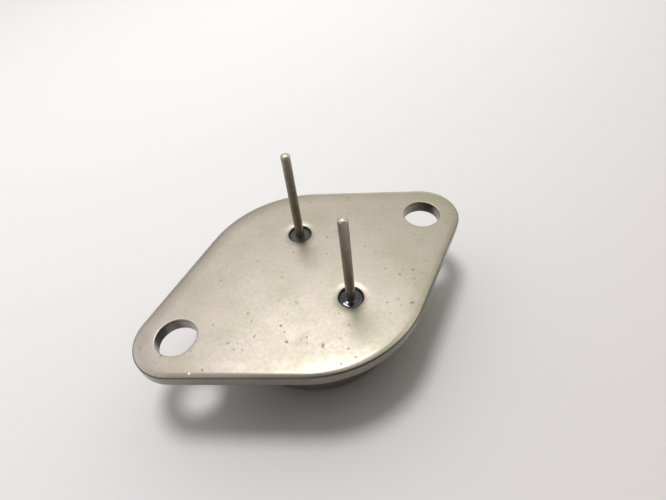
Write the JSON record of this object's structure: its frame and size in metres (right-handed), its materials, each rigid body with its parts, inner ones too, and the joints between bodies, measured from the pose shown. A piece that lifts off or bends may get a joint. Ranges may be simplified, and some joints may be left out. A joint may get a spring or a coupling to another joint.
{
  "type": "power transistor",
  "caption": "Power transistor in a steel flange-mount outline: a rounded diamond flange with mounting holes, a drawn can under it, and stiff pins in glass seals.",
  "frame": {"origin": "centre of the can's flat top, on the surface that the part rests on", "axes": "+Z along the pins, out of the seating plane; +X along the flange towards the mounting hole that is nearer to the pins; +Y across the flange towards the emitter pin"},
  "size_m": [0.0386, 0.025, 0.0192],
  "materials": {
    "plated_steel": "satin nickel plate, warm and slightly tarnished",
    "sealing_glass": "opaque blue-black sealing glass, glossy",
    "pin_alloy": "dull nickel-iron, dark grey-brown",
    "copper": "clean copper",
    "silver_braze": "silver braze",
    "solder": "soft solder, satin",
    "silicon": "silicon with a metallised face",
    "tinned_strip": "tinned strip",
    "silicone": "white silicone, matt"
  },
  "bodies": {
    "root": {"flange": "plated_steel", "can": "plated_steel", "base_glass_seal": "sealing_glass", "emitter_glass_seal": "sealing_glass", "base_pin": "pin_alloy", "emitter_pin": "pin_alloy", "heat_spreader": "copper", "spreader_braze": "silver_braze", "die_solder": "solder", "transistor_die": "silicon", "base_clip": "tinned_strip", "emitter_clip": "tinned_strip", "junction_coating": "silicone"}
  },
  "joints": []
}
